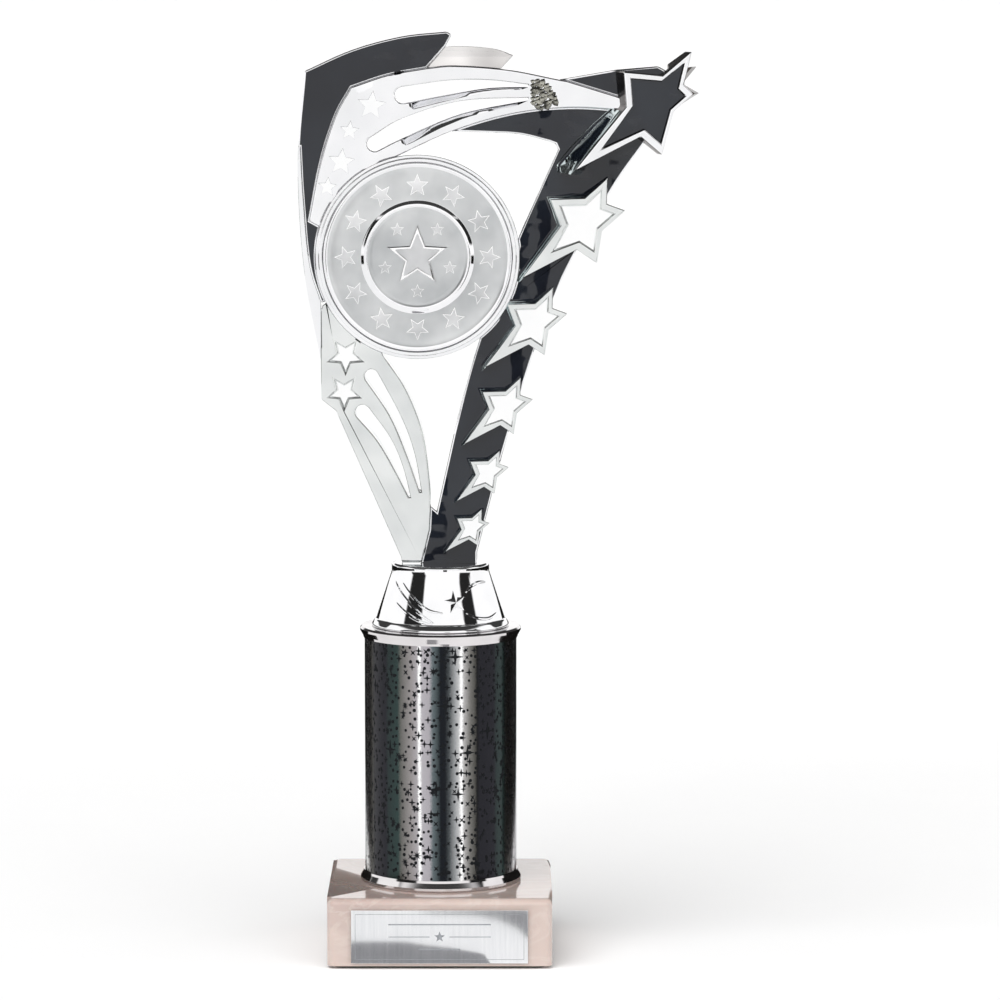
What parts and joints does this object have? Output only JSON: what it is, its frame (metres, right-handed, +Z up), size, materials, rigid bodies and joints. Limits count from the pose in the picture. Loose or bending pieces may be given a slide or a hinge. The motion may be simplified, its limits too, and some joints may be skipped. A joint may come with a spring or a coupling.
{
  "type": "column trophy",
  "caption": "Column trophy: polished stone block, foil-wrapped riser tube between silver caps, silver cone cup and an open two-tone figure of shooting stars round a silver centre disc.",
  "frame": {"origin": "centre of the underside, on the surface that the trophy stands on", "axes": "+Z up the riser tube, -Y the front with the engraving plate, +X towards the large star"},
  "size_m": [0.1063, 0.0603, 0.2455],
  "materials": {
    "felt": "short-pile felt",
    "marble": "polished, faint veins",
    "steel": "zinc plated",
    "tape": "foam tape",
    "plate": "bright anodised",
    "silver": "bright silver plating",
    "black": "black lacquer over plating",
    "tube": "smooth extruded",
    "foil": "smoke mirror foil with stars",
    "disc": "satin, pressed relief",
    "peg": "natural moulded"
  },
  "bodies": {
    "root": {"base_felt_pad": "felt", "marble_base": "marble", "base_washer": "steel", "base_nut": "steel", "threaded_rod": "steel", "plate_tape": "tape", "engraving_plate": "plate", "tube_cap_bottom": "silver", "riser_tube": "tube", "foil_wrap": "foil", "tube_cap_top": "silver", "cone_cup": "silver", "figure_nut": "steel", "band_front": "black", "band_rear": "black", "comet_front": "silver", "comet_rear": "silver", "bar_front": "black", "bar_rear": "black", "wing_front": "silver", "wing_rear": "silver", "edge_trim": "silver", "ribbon_tail": "silver", "disc_holder_front": "silver", "disc_holder_rear": "silver", "disc_pad": "tape", "centre_disc": "disc", "big_star_front": "silver", "big_star_rear": "silver", "big_star_inlay_front": "black", "big_star_inlay_rear": "black", "star_2_front": "silver", "star_2_rear": "silver", "star_3_front": "silver", "star_3_rear": "silver", "star_4_front": "silver", "star_4_rear": "silver", "star_5_front": "silver", "star_5_rear": "silver", "star_6_front": "silver", "star_6_rear": "silver", "figure_dowels": "peg", "figure_pins": "peg"}
  },
  "joints": []
}
